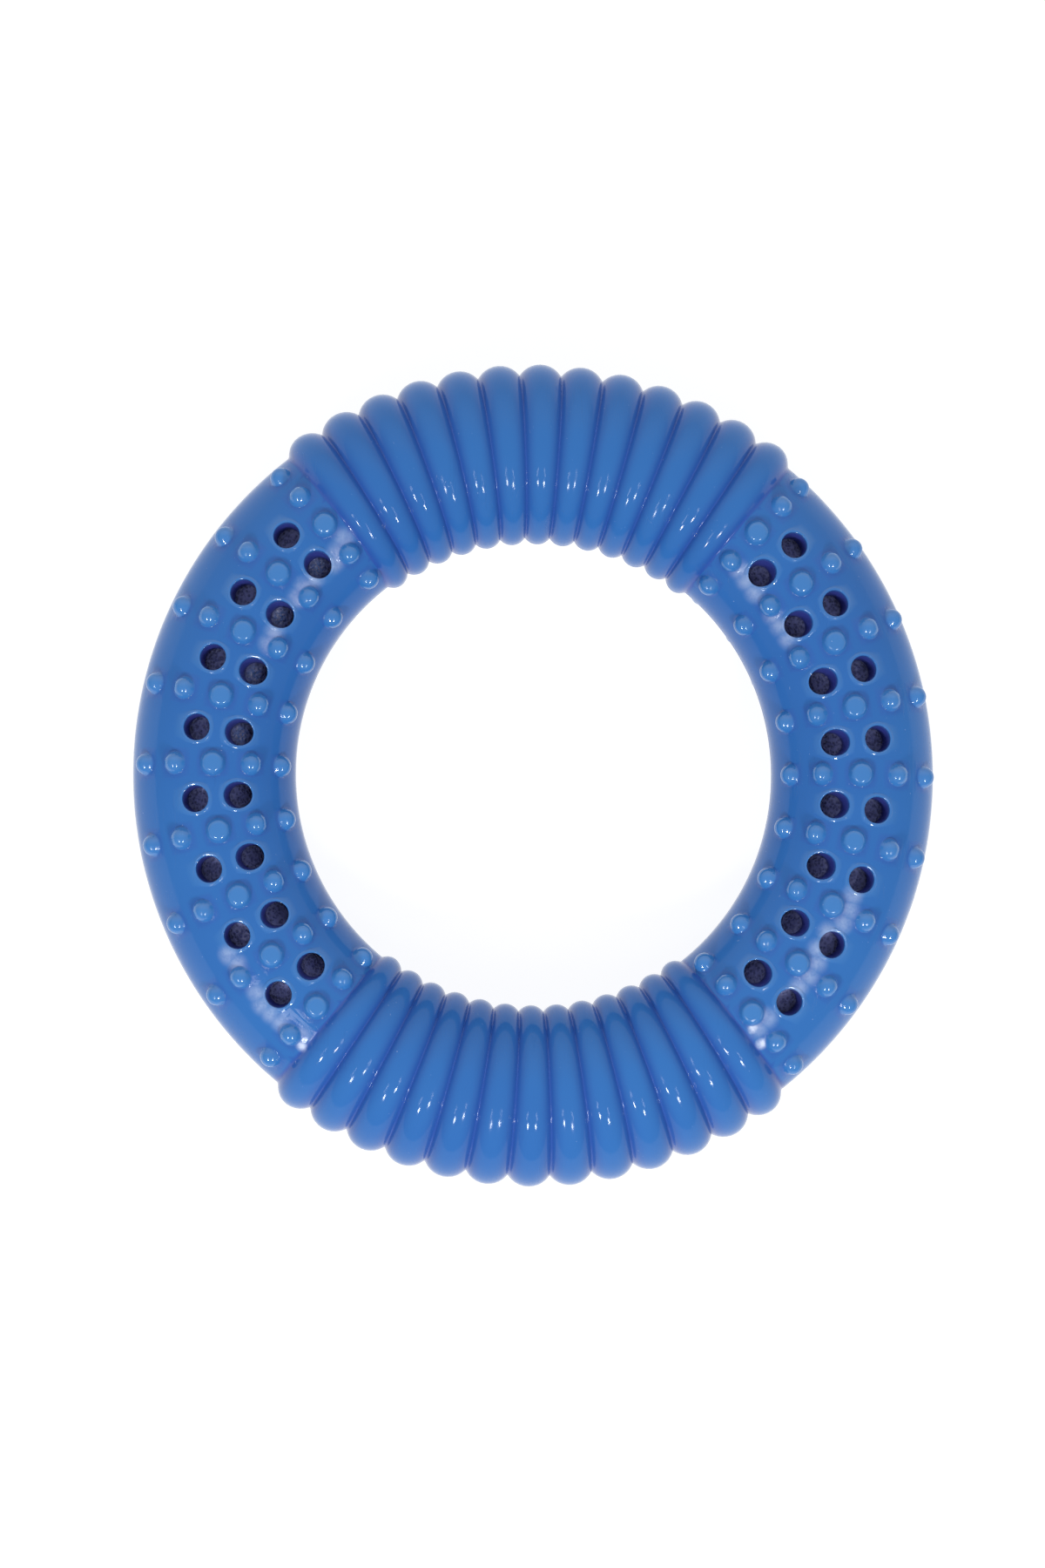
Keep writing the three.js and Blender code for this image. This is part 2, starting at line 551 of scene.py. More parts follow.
@dataclass(frozen=True)
class Cell:
    """The stretch of skin round one nub or hole, centred on phi = 0."""

    low: float
    high: float
    half_width: float
    steps: int
    across: int
    shares: tuple[float, ...] = (0.0, 1 / 3, 2 / 3)

    def border(self) -> Array:
        """Points round its edge.

        Returns:
            Their phi and theta, last.
        """
        over = np.linspace(-self.half_width, self.half_width, self.across + 1)
        up = np.linspace(self.low, self.high, self.steps + 1)
        sides = [
            np.stack([over, np.full_like(over, self.low)], -1)[:-1],
            np.stack([np.full_like(up, self.half_width), up], -1)[:-1],
            np.stack([over[::-1], np.full_like(over, self.high)], -1)[:-1],
            np.stack([np.full_like(up, -self.half_width), up[::-1]], -1)[:-1],
        ]
        return np.vstack(sides)

    def spokes(self, tube: Tube, middle: Array, out: Array) -> Array:
        """Directions from a nub's or a hole's axis towards its border, square to the axis.

        Args:
            tube: what the stretch lies on.
            middle: where the axis meets the skin.
            out: the axis's direction, away from the tube.

        Returns:
            One direction for each point of the border.
        """
        side = np.array([0.0, 1.0, 0.0])
        up = np.cross(side, out)
        offset = tube.point(*self.border().T, tube.radius) - middle
        turn = np.arctan2(offset @ up, offset @ side)
        return np.cos(turn)[:, None] * side + np.sin(turn)[:, None] * up


@dataclass(frozen=True)
class Nub:
    """A domed nub. Those on the crown are flatter, and the ring rests on them."""

    height: float = 0.0023
    top_radius: float = 0.00235
    crown_height: float = 0.00178
    crown_flat: float = 0.0014
    crown_turn: float = 0.0010
    flank: float = 68.0
    foot_radius: float = 0.00025
    foot_steps: int = 2
    top_steps: int = 6
    foot_share: float = 1 / 8
    # How strongly the FOOT mark, and with it the painted shade, reaches onto the skin just outside the foot.
    foot_blend: float = 0.6

    def profile(self, crown: bool) -> list[tuple[float, float]]:
        """The nub's outline, from the foot to just short of the tip.

        Args:
            crown: whether it stands on the crown.

        Returns:
            Distances from the axis and heights above the skin.
        """
        height, flat, turn = self.height, 0.0, self.top_radius
        if crown:
            height, flat, turn = self.crown_height, self.crown_flat, self.crown_turn
        steep = math.radians(self.flank)
        side = height - (turn + self.foot_radius) * (1 - math.cos(steep))
        shoulder = flat + turn * math.sin(steep)
        foot_end = shoulder + side / math.tan(steep) + self.foot_radius * math.sin(steep)
        foot = [(foot_end - self.foot_radius * math.sin(t), self.foot_radius * (1 - math.cos(t)))
                for t in np.linspace(0, steep, self.foot_steps + 1)]
        top = [(flat + turn * math.sin(t), height - turn * (1 - math.cos(t)))
               for t in np.linspace(steep, 0, self.top_steps + 1)]
        half_way = tuple((a + b) / 2 for a, b in zip(foot[-1], top[0]))
        return [*foot, half_way, *(top if crown else top[:-1])]

    def patches(self, tube: Tube, cell: Cell, theta: float) -> list[Patch]:
        """Builds the nub with the skin round it.

        Args:
            tube: what it stands on.
            cell: the stretch of skin.
            theta: where its middle is.

        Returns:
            The sheet round it and its tip.
        """
        crown = theta == 90
        height = self.crown_height if crown else self.height
        middle = tube.point(0, theta, tube.radius)
        out = middle - tube.point(0, theta, 0)
        out = out / np.linalg.norm(out)
        spokes = cell.spokes(tube, middle, out)
        loops, nubs = [], []
        for reach, rise in self.profile(crown):
            start = middle + reach * spokes
            base = tube.meet(start, np.broadcast_to(out, start.shape), tube.radius)
            loops.append(start + (base + rise)[:, None] * out)
            nubs.append(min(rise / (height * self.foot_share), 1.0))
        skin = tube.between(cell.border(), tube.angles(loops[0]), cell.shares, tube.radius)
        # The FOOT mark also carries the painted shade round the nub's foot.
        feet = np.array([*[0.0] * (len(skin) - 1), self.foot_blend, *(1 - nub for nub in nubs)])
        nubs = np.array([*[0.0] * len(skin), *nubs])
        sheet = Patch.sheet(np.stack(skin + loops), closed=True, NUB=nubs[:, None], FOOT=feet[:, None])
        return [sheet, Patch.fan(loops[-1], middle + height * out, NUB=1.0)]


@dataclass(frozen=True)
class Hole:
    """A tapered hole that leans away from the ring's axis towards its mouth."""

    radius: float = 0.00295
    lean: float = 9.0
    draft: float = 3.0
    offset: float = 15.1
    shift: float = 1.8
    rim_fillet: float = 0.0003
    lip_width: float = 0.0005
    lip_rise: float = 0.00014
    lip_places: tuple[float, ...] = (0.0, 0.25, 0.5, 0.75)
    lip_turn: float = 0.75
    inner_fillet: float = 0.00025
    fillet_steps: int = 4
    inner_steps: int = 2
    wall_places: tuple[float, ...] = (0.06, 0.3, 0.65)
    lining_places: tuple[float, ...] = (0.5, 1.0)
    fade_loops: int = 3

    def patch(self, tube: Tube, cell: Cell, theta: float) -> Patch:
        """Builds the hole from the skin round its mouth down to the hollow's wall.

        Args:
            tube: what it goes through.
            cell: the stretch of skin, which the hollow's wall shares.
            theta: where its mouth is.

        Returns:
            The sheet.
        """
        middle = tube.point(0, theta, tube.radius)
        lean = math.radians(self.lean)
        out = np.array([math.sin(lean), 0.0, math.cos(lean)])
        border = cell.border()
        spokes = cell.spokes(tube, middle, out)
        slant = out + math.tan(math.radians(self.draft)) * spokes
        throat = self.radius - self.rim_fillet * (1 - math.sqrt(0.5))

        def loop(widening: float, surface: float, guess: float, rise: float) -> Array:
            """Points round the hole, so much wider than its throat and so high over a surface."""
            start = middle + (throat + widening) * spokes
            return start + (tube.meet(start, slant, surface, guess) + rise)[:, None] * slant

        def lip_height(place: float) -> float:
            """How high the lip stands at a place from its outer edge, 0, to the fillet, 1."""
            return self.lip_rise * math.sin(math.pi * self.lip_turn * place) ** 2

        lip = [loop(self.rim_fillet + self.lip_width * (1 - s), tube.radius, 0.0, lip_height(s))
               for s in self.lip_places]
        rim = [loop(self.rim_fillet * (1 - math.sin(t)), tube.radius, 0.0,
                    lip_height(1) - self.rim_fillet * (1 - math.cos(t)))
               for t in np.linspace(0, math.pi / 2, self.fillet_steps + 1)]
        foot = [loop(self.inner_fillet * (1 - math.cos(t)), tube.cavity, -tube.wall,
                     self.inner_fillet * (1 - math.sin(t)))
                for t in np.linspace(0, math.pi / 2, self.inner_steps + 1)]
        wall = [(1 - s) * rim[-1] + s * foot[0] for s in self.wall_places]
        skin = tube.between(border, tube.angles(lip[0]), cell.shares, tube.radius)
        lining = tube.between(tube.angles(foot[-1]), border, self.lining_places, tube.cavity)
        loops = np.stack(skin + lip + rim + wall + foot + lining)
        mouth = len(skin) + len(lip)
        rims = np.zeros(len(loops))
        rims[len(skin):mouth + self.fade_loops] = 1
        # The INSIDE mark grows down the hole below the rim; the finish paints the wall darker there, partly
        # as painted shade.
        below = np.arange(len(loops)) - (mouth + self.fillet_steps - 1)
        depths = np.clip(below / self.fade_loops, 0, 1)
        return Patch.sheet(loops, closed=True, RIM=rims[:, None], INSIDE=depths[:, None])


@dataclass(frozen=True)
class Ribs:
    """Rounded ribs across a grip, as much lower as they are narrower towards the ring's middle."""

    count: int = 13
    pitch: float = 6.0
    rise: float = 0.0025
    half_steps: int = 7
    floor: float = 0.07
    floor_turn: float = 0.06
    end_turn: float = 0.25
    shade_reach: float = 0.9
    level_turn: float = 0.0005

    def places(self) -> Array:
        """Where a rib has its sections, from -1 to 1 across it, closer together in the grooves."""
        return np.sin(np.linspace(-math.pi / 2, math.pi / 2, 2 * self.half_steps + 1))

    def stations(self) -> Array:
        """Where all sections are round the ring.

        Returns:
            Degrees from the start of the first rib.
        """
        starts = np.arange(self.count)[:, None] * self.pitch
        inside = (starts + self.pitch * (self.places()[:-1] + 1) / 2).ravel()
        return np.append(inside, self.count * self.pitch)

    def share(self, tube: Tube) -> Array:
        """How high the ribs are at each station.

        Args:
            tube: what they stand on.

        Returns:
            The heights, as shares of a crest's.
        """
        bulge = self.rise / ((tube.ring_radius + tube.radius) * math.tan(math.radians(self.pitch / 2)))
        arc = (1 + bulge**2) / (2 * bulge)
        slope = 1 / math.sqrt(arc**2 - 1) / bulge

        def round_top(place: Array) -> Array:
            """The arc's height at places across a rib, straight on past its ends."""
            inside = np.clip(np.abs(place), 0, 1)
            return (np.sqrt(arc**2 - inside**2) - (arc - bulge)) / bulge - slope * (np.abs(place) - inside)

        place = self.places()
        rib = smooth_most(round_top(place), self.floor, self.floor_turn)
        narrowing = self.end_turn / slope
        end = smooth_most(round_top(place / (1 - narrowing)), 0.0, self.end_turn)
        outer_half = place < 0
        shares = [rib[:-1]] * self.count
        shares[0] = np.where(outer_half, end, rib)[:-1]
        shares[-1] = np.where(outer_half, rib, end)[:-1]
        return np.append(np.concatenate(shares), 0.0)

    def height(self, tube: Tube, theta: Number) -> Number:
        """How high the crests stand at some rows, lower where the ring is narrower."""
        reach = tube.ring_radius + tube.radius * np.cos(np.radians(theta))
        return self.rise * reach / (tube.ring_radius + tube.radius)

    def skin(self, tube: Tube, theta: Array, seam_break: Array, level: float) -> Patch:
        """Builds the outside of one grip, which starts at phi = 0.

        Args:
            tube: what the ribs stand on.
            theta: the rows round the tube.
            seam_break: how much each row is set back at the seam.
            level: height over the seam that nothing passes.

        Returns:
            The sheet.
        """
        share = self.share(tube)[None, :]
        radius = tube.radius + share * self.height(tube, theta)[:, None] - seam_break[:, None]
        points = tube.point(self.stations()[None, :], theta[:, None], radius)
        points[..., 2] = -smooth_most(-points[..., 2], -level, self.level_turn)
        # The GROOVE mark also carries the painted shade in the grooves.
        groove = np.clip(1 - share / self.shade_reach, 0, 1)
        return Patch.sheet(points, GROOVE=np.broadcast_to(groove, points.shape[:2]))


class Half(Enum):
    """The two shells, with the node that each stands for."""

    UPPER = "upper_shell"
    LOWER = "lower_shell"


@dataclass(frozen=True)
class SeamKey:
    """What runs along the middle of the wall on the seam: a tongue hangs down, a groove goes up."""

    width: float
    depth: float


@dataclass
class HalfShell:
    """One moulded half of the ring, from its nubs and ribs to its hollow and seam."""

    half: Half
    seam_height: float
    level: float
    tube: Tube = Tube()
    rows: Rows = Rows()
    nub: Nub = Nub()
    hole: Hole = Hole()
    ribs: Ribs = Ribs()
    tongue: SeamKey = SeamKey(0.0016, -0.0018)
    groove: SeamKey = SeamKey(0.0022, 0.0021)
    nub_rows: int = 9
    band: float = 6.0
    band_steps: int = 6
    bulkhead_inset: float = 1.0
    bulkhead_station: int = 4
    seam_set_back: float = 0.00012
    seam_gap: float = 0.00002

    @property
    def node(self) -> str:
        """The node that it stands for."""
        return self.half.value

    def seam_break(self, theta: Array) -> Array:
        """How far each row is set back, which leaves a fine line where the shells meet."""
        return np.where((theta == 0) | (theta == 180), self.seam_set_back, 0.0)

    def strip(self, theta: Array) -> Patch:
        """Plain skin of one band.

        Args:
            theta: the rows that it goes through.

        Returns:
            The sheet.
        """
        phi = np.linspace(-self.band / 2, self.band / 2, self.band_steps + 1)
        radius = self.tube.radius - self.seam_break(theta)
        return Patch.sheet(self.tube.point(phi[None, :], theta[:, None], radius[:, None]))

    def lining(self, low: float, high: float, theta: Array) -> Patch:
        """Wall of the hollow, with a section at each whole degree.

        Args:
            low: where it starts round the ring.
            high: where it ends.
            theta: the rows that it goes through.

        Returns:
            The sheet.
        """
        phi = np.linspace(low, high, 1 + round(high - low))
        points = self.tube.point(phi[None, :], theta[:, None], self.tube.cavity)
        return Patch.sheet(points, INSIDE=1.0)

    def cell(self, low: float, high: float) -> Cell:
        """The stretch of skin between two rows of a band."""
        steps = round((high - low) / self.rows.block * self.rows.steps_per_block)
        return Cell(low, high, self.band / 2, steps, self.band_steps)

    def nub_band(self) -> list[Patch]:
        """One row of nubs with the skin round them.

        Returns:
            The patches, centred on phi = 0.
        """
        rows = self.rows
        made = [self.strip(part) for part in rows.outside(rows.full(rows.outer_margin_rows), rows.nubbed)]
        for place in range(rows.nubs_across):
            theta = 90 + (place - (rows.nubs_across - 1) / 2) * rows.nub_spacing
            cell = self.cell(theta - rows.block, theta + rows.block)
            made += self.nub.patches(self.tube, cell, theta)
        return made

    def hole_band(self) -> list[Patch]:
        """Two holes with the skin and the hollow's wall round them.

        Returns:
            The patches, centred on phi = 0.
        """
        rows, half, reach = self.rows, self.band / 2, self.rows.holed
        outer, inner = rows.full(rows.outer_margin_rows), rows.full(rows.inner_margin_rows)
        made = [self.strip(part) for part in rows.outside(outer, reach)]
        made += [self.lining(-half, half, part) for part in rows.outside(inner, reach)]
        middle, offset = 90 + self.hole.shift, self.hole.offset
        made.append(self.hole.patch(self.tube, self.cell(90 - reach, 90), middle - offset))
        made.append(self.hole.patch(self.tube, self.cell(90, 90 + reach), middle + offset))
        return made

    def arc(self) -> list[Patch]:
        """One perforated arc, with its hollow closed at both ends.

        Returns:
            The patches, centred on phi = 0.
        """
        nubs, holes = self.nub_band(), self.hole_band()
        inner = self.rows.full(self.rows.inner_margin_rows)
        half = self.band / 2
        reach = (self.nub_rows - 1) * self.band
        end = reach + half - self.bulkhead_inset
        made = []
        for row in range(self.nub_rows):
            middle = 2 * self.band * row - reach
            made += [patch.turned(middle) for patch in nubs]
            made.append(self.lining(max(middle - half, -end), min(middle + half, end), inner))
            if row:
                made += [patch.turned(middle - self.band) for patch in holes]
        for phi in (-end, end):
            made.append(Patch.lid(self.tube.point(phi, inner, self.tube.cavity), INSIDE=1.0))
        return made

    def grip(self) -> list[Patch]:
        """One ribbed grip, with its hollow closed at both ends.

        Returns:
            The patches, which start at phi = 0.
        """
        outer = self.rows.full(self.rows.outer_margin_rows)
        coarse = np.linspace(0, 180, self.rows.coarse_steps + 1)
        first = self.bulkhead_station
        phi = self.ribs.stations()[first:-first]
        made = [self.ribs.skin(self.tube, outer, self.seam_break(outer), self.level)]
        lining = self.tube.point(phi[None, :], coarse[:, None], self.tube.cavity)
        made.append(Patch.sheet(lining, INSIDE=1.0))
        for end in (phi[0], phi[-1]):
            made.append(Patch.lid(self.tube.point(end, coarse, self.tube.cavity), INSIDE=1.0))
        return made

    def seam(self, phi: Array, skins: list[Array]) -> list[Patch]:
        """The flat faces on the seam, with the tongue or the groove along each wall.

        Args:
            phi: the sections round part of the ring.
            skins: how far the skin of the outer and of the inner wall is from the centre line there.

        Returns:
            The sheets of the outer and the inner wall.
        """
        made = []
        key = self.tongue if self.half is Half.UPPER else self.groove
        middle = (self.tube.radius + self.tube.cavity) / 2
        near, far = middle - key.width / 2, middle + key.width / 2
        for theta, skin in zip((0, 180), skins):
            track = [(skin, 0), (far, 0), (far, key.depth), (near, key.depth), (near, 0),
                     (self.tube.cavity, 0)]
            lines = []
            for radius, depth in track:
                line = self.tube.point(phi, theta, radius)
                line[:, 2] = depth
                lines.append(line)
            made.append(Patch.sheet(np.stack(lines), INSIDE=1.0))
        return made

    def build(self) -> bpy.types.Object:
        """Builds the shell in its place.

        Returns:
            The piece.
        """
        span = (2 * self.nub_rows - 1) * self.band
        phi = np.linspace(-span / 2, span / 2, 1 + round(span))
        skin = self.tube.radius - self.seam_set_back
        arc = self.arc() + self.seam(phi, [np.full(len(phi), skin)] * 2)
        arc += self.bulkhead_tops(phi, round(self.bulkhead_inset))
        phi, share = self.ribs.stations(), self.ribs.share(self.tube)
        ribbed = [skin + share * self.ribs.height(self.tube, theta) for theta in (0, 180)]
        grip = self.grip() + self.seam(phi, ribbed) + self.bulkhead_tops(phi, self.bulkhead_station)
        patches = []
        for turn in (0, 180):
            patches += [patch.turned(turn) for patch in arc]
            patches += [patch.turned(turn + span / 2) for patch in grip]
        piece = weld(self.node + "_skin", patches)
        self.place(piece)
        return piece

    def bulkhead_tops(self, phi: Array, steps: int) -> list[Patch]:
        """The seam faces of the walls across the tube at both ends of part of the ring.

        Args:
            phi: the part's sections.
            steps: how many steps between sections a wall takes up.

        Returns:
            One sheet for each wall.
        """
        made = []
        for wall in (phi[:steps + 1], phi[-steps - 1:]):
            sheet = np.stack([self.tube.point(wall, theta, self.tube.cavity) for theta in (0, 180)])
            sheet[..., 2] = 0
            made.append(Patch.sheet(sheet, INSIDE=1.0))
        return made

    def place(self, piece: bpy.types.Object) -> None:
        """Moves the finished mesh from the seam's frame to where its shell lies.

        Args:
            piece: the shell.
        """
        lift = Matrix.Translation((0, 0, self.seam_gap))
        turn = Matrix.Rotation(math.pi if self.half is Half.LOWER else 0, 4, "X")
        piece.data.transform(Matrix.Translation((0, 0, self.seam_height)) @ turn @ lift)

    def dress(self, piece: bpy.types.Object, rubber: bpy.types.Material) -> None:
        """Gives the shell its rubber, and ties it to its node."""
        stand_for(piece, self.node, rubber)


class Arc(Enum):
    """The two perforated arcs: the node of the sponge inside, and the degrees where the middle is."""

    RIGHT = ("right_sponge", 0.0)
    LEFT = ("left_sponge", 180.0)


@dataclass
class SpongeCore:
    """The open-cell sponge in one perforated arc."""

    node: str
    arc_centre: float
    seam_height: float
    tube: Tube = Tube()
    clearance: float = 0.0003
    half_span: float = 49.6
    pitch: float = 0.00048
    end_round: float = 0.0015
    pore_pitch: float = 0.0011
    pore_radius: float = 0.55
    pore_depth: float = 0.00045
    swell_pitch: float = 0.007
    swell: float = 0.0004

    def build(self) -> bpy.types.Object:
        """Builds the core in its place.

        Returns:
            The piece.
        """
        radius = self.tube.cavity - self.clearance
        sides = round(2 * math.pi * radius / self.pitch)
        theta = np.arange(sides) * 360 / sides
        length = self.tube.ring_radius * math.radians(2 * self.half_span)
        phi = np.linspace(-self.half_span, self.half_span, round(length / self.pitch))
        from_end = self.tube.ring_radius * np.radians(self.half_span - np.abs(phi))
        rounding = np.clip(1 - from_end / self.end_round, 0, 1)
        draw_in = self.end_round * (1 - np.sqrt(1 - rounding**2))
        rings = radius - draw_in
        points = self.tube.point(phi[:, None], theta[None, :], rings[:, None])
        axis = self.tube.point(phi[:, None], theta[None, :], 0)
        inward = (axis - points) / rings[:, None, None]
        depth = self.pores(points)
        points = points + inward * depth[..., None]
        patches = [Patch.sheet(points, closed=True)]
        for end in (0, -1):
            patches.append(Patch.fan(points[end], points[end].mean(axis=0)))
        piece = weld(self.node + "_foam", patches)
        turn = Matrix.Rotation(math.radians(self.arc_centre), 4, "Z")
        piece.data.transform(Matrix.Translation((0, 0, self.seam_height)) @ turn)
        return piece

    def pores(self, points: Array) -> Array:
        """How deep the open cells and the slack of the foam lie.

        Args:
            points: places on the plain core.

        Returns:
            The depth under each of them.
        """
        depths = []
        for point in points.reshape(-1, 3):
            near = noise.voronoi(Vector(point) / self.pore_pitch)[0]
            pit = math.sqrt(max(0.0, 1 - near[0] / self.pore_radius))
            slack = 0.5 + 0.5 * noise.noise(Vector(point) / self.swell_pitch)
            depths.append(self.pore_depth * pit + self.swell * slack)
        return np.array(depths).reshape(points.shape[:2])

    def dress(self, piece: bpy.types.Object, foam: bpy.types.Material) -> None:
        """Gives the core its foam, and ties it to its node."""
        stand_for(piece, self.node, foam)


# Finishes


@dataclass(frozen=True)
class GlossyRubber:
    """Glossy moulded rubber: smooth skin with smudges, pale specks and fine scratches, painted shade in the
    grooves and round the nubs' feet, painted light on the nubs, painted highlights on the hole rims, and
    painted reflections and glints between the nubs.
    """

    # Painted reflections and glints lie between the nubs, each at its degrees round the ring and round the
    # tube.
    painted_reflections: Places = (
        (28.5, 119.0), (31.5, 120.0), (34.0, 120.0), (40.0, 121.0), (43.0, 120.0), (45.5, 118.0),
        (131.0, 106.0), (133.5, 110.0), (135.5, 115.0), (140.5, 112.0), (143.0, 110.0), (145.5, 111.0),
        (153.5, 110.0), (156.0, 110.0), (212.0, 64.0), (214.0, 66.0), (219.5, 65.0), (221.5, 62.0),
        (223.5, 63.0), (225.5, 64.0), (229.5, 68.0), (311.0, 79.0), (313.5, 80.0), (321.0, 79.0),
        (323.5, 78.0), (326.0, 79.0), (328.0, 84.0), (331.5, 84.0), (334.0, 77.0), (336.5, 77.0),
        (339.0, 79.0))
    painted_glints: Places = ((230.5, 62.0), (310.0, 69.0), (310.5, 81.0))
    reflection_reach: float = 0.0032
    reflection_strength: float = 0.34
    glint_reach: float = 0.0018
    reflection_grain: Pattern = Pattern(0.002, 0.35, 0.6, 5.0, 0.7, least=0.6)
    body: Colour = (48, 102, 171)
    # painted shade colour, for the rib grooves and the nubs' feet
    deep: Colour = (46, 76, 160)
    # lighter blue: painted light on the nubs and a painted highlight on the hole rims; in the clouds it is
    # random tone
    nub: Colour = (56, 120, 186)
    # painted sheen: the pale colour of the painted reflections and glints
    painted_sheen: Colour = (210, 220, 242)
    # matt inner surface; down the holes it is also painted shade
    inside: Colour = (50, 60, 140)
    # pale specks: partly dust, partly painted glints
    dust_and_glints: Colour = (200, 215, 235)
    clouds: Pattern = Pattern(0.05, 0.35, 0.7, 3.0)
    cloud_share: float = 0.25
    # The next four shares: painted shade round the nubs' feet and in the grooves, painted light on the nubs,
    # and a painted highlight on the hole rims.
    foot_share: float = 0.3
    groove_painted_shade: float = 0.75
    nub_painted_light: float = 0.8
    rim_painted_highlight: float = 0.4
    specks: Pattern = Pattern(0.0006, 0.74, 0.8, 1.0)
    speckled: Pattern = Pattern(0.006, 0.5, 0.7)
    dust_and_glint_share: float = 0.25
    roughness: float = 0.07
    smudges: Pattern = Pattern(0.012, 0.4, 0.75, 4.0, 0.6)
    smudge_roughness: float = 0.10
    scratch_roughness: float = 0.2
    inside_roughness: float = 0.25
    dust_roughness: float = 0.2
    ripple_size: float = 0.006
    ripple_depth: float = 0.000015
    grain_size: float = 0.0007
    grain_depth: float = 0.0000005
    flash_size: float = 0.0011
    flash_depth: float = 0.00012
    scratch_size: float = 0.0036
    scratch_stretch: tuple[float, float, float] = (1.0, 0.06, 0.4)
    scratch_tilt: tuple[float, float] = (0.2, 0.1)
    scratch_turns: tuple[tuple[float, float], ...] = ((0.5, 0.55), (2.2, 0.57))
    scratch_width: float = 0.006
    scratched: Pattern = Pattern(0.018, 0.58, 0.66, 1.0)
    scratch_depth: float = 0.00002
    ior: float = 1.26
    coat_ior: float = 2.0
    nub_coat: float = 0.34
    rim_coat: float = 0.27
    foot_coat: float = 0.081
    groove_coat: float = 0.12
    groove_floor: Range = (0.6, 0.95)

    def material(self, tube: Tube, seam_height: float) -> bpy.types.Material:
        """Builds the material.

        Args:
            tube: the ring's tube, on which the painted reflections lie.
            seam_height: the height of its middle.

        Returns:
            The material.
        """
        graph = Graph(bpy.data.materials.new("glossy_rubber"))
        nub, foot, groove, rim, inside = (graph.mark(mark) for mark in Mark)
        # pale specks: partly dust, partly painted glints
        dust_and_glints = graph.pattern(self.specks) * graph.pattern(self.speckled)
        hair = self.scratches(graph)
        layers = [
            (graph.pattern(self.clouds) * self.cloud_share, self.nub),
            # painted shade round the nubs' feet and in the rib grooves
            (foot * self.foot_share, self.deep),
            (groove * self.groove_painted_shade, self.deep),
            # painted light: the nubs lighter than the skin
            (nub * (1 - foot) * self.nub_painted_light, self.nub),
            # painted highlight round the holes' rims
            (rim * self.rim_painted_highlight, self.nub),
            # painted reflections and glints, kept off the nubs
            (self.reflection_mask(graph, tube, seam_height) * (1 - nub), self.painted_sheen),
            # inner surface, partly painted shade down the holes
            (inside, self.inside),
            # specks of dust and painted glints
            (dust_and_glints * self.dust_and_glint_share, self.dust_and_glints),
        ]
        base: Value = colour(*self.body)
        for share, shade in layers:
            base = graph.blend(share, base, colour(*shade))
        handled = self.roughness + self.smudge_roughness * graph.pattern(self.smudges)
        dull = self.scratch_roughness * hair + self.inside_roughness * inside + self.dust_roughness * dust_and_glints
        wet = graph.most(self.nub_coat * nub, self.rim_coat * rim, self.foot_coat * foot,
                         self.groove_coat * groove.ramp(*self.groove_floor))
        return graph.finish({
            "Base Color": base,
            "Roughness": handled + dull,
            "Normal": self.relief(graph, graph.most(foot, rim), hair),
            "IOR": self.ior,
            "Coat Weight": wet,
            "Coat IOR": self.coat_ior,
        })

    def reflection_mask(self, graph: Graph, tube: Tube, seam_height: float) -> Socket:
        """Painted reflections and glints on the skin.

        Args:
            graph: the material's nodes.
            tube: what they lie on.
            seam_height: the height of its middle.

        Returns:
            The mask, from 0 to 1.
        """
        painted_reflections = graph.spots(tube.spots(self.painted_reflections, tube.radius, seam_height), self.reflection_reach)
        painted_glints = graph.spots(tube.spots(self.painted_glints, tube.radius, seam_height), self.glint_reach)
        return graph.most(self.reflection_strength * painted_reflections, painted_glints) * graph.pattern(self.reflection_grain)

    def relief(self, graph: Graph, edges: Socket, hair: Socket) -> Socket:
        """The skin's faint ripple and grain, its uneven moulded edges, and the scratches.

        Args:
            graph: the material's nodes.
            edges: the feet of the nubs and the rims of the holes.
            hair: the scratches.

        Returns:
            The normal.
        """
        ripple = graph.bump(graph.noise(self.ripple_size, 1.0), self.ripple_depth)
        fine = graph.bump(graph.noise(self.grain_size), self.grain_depth, ripple)
        moulding = graph.bump(graph.noise(self.flash_size) * edges, self.flash_depth, fine)
        return graph.bump(1 - hair, self.scratch_depth, moulding)

    def scratches(self, graph: Graph) -> Socket:
        """Hair-fine scratches, in a few places only, each turn's along one level of stretched noise.

        Args:
            graph: the material's nodes.

        Returns:
            The mask, from 0 to 1.
        """
        lines = []
        for angle, level in self.scratch_turns:
            stretched = graph.shift(self.scratch_stretch, (*self.scratch_tilt, angle))
            streaks = graph.noise(self.scratch_size, place=stretched)
            line = 1 - graph.math("ABSOLUTE", streaks - level).ramp(0.0, self.scratch_width)
            lines.append(line * graph.pattern(self.scratched))
        return graph.most(*lines)


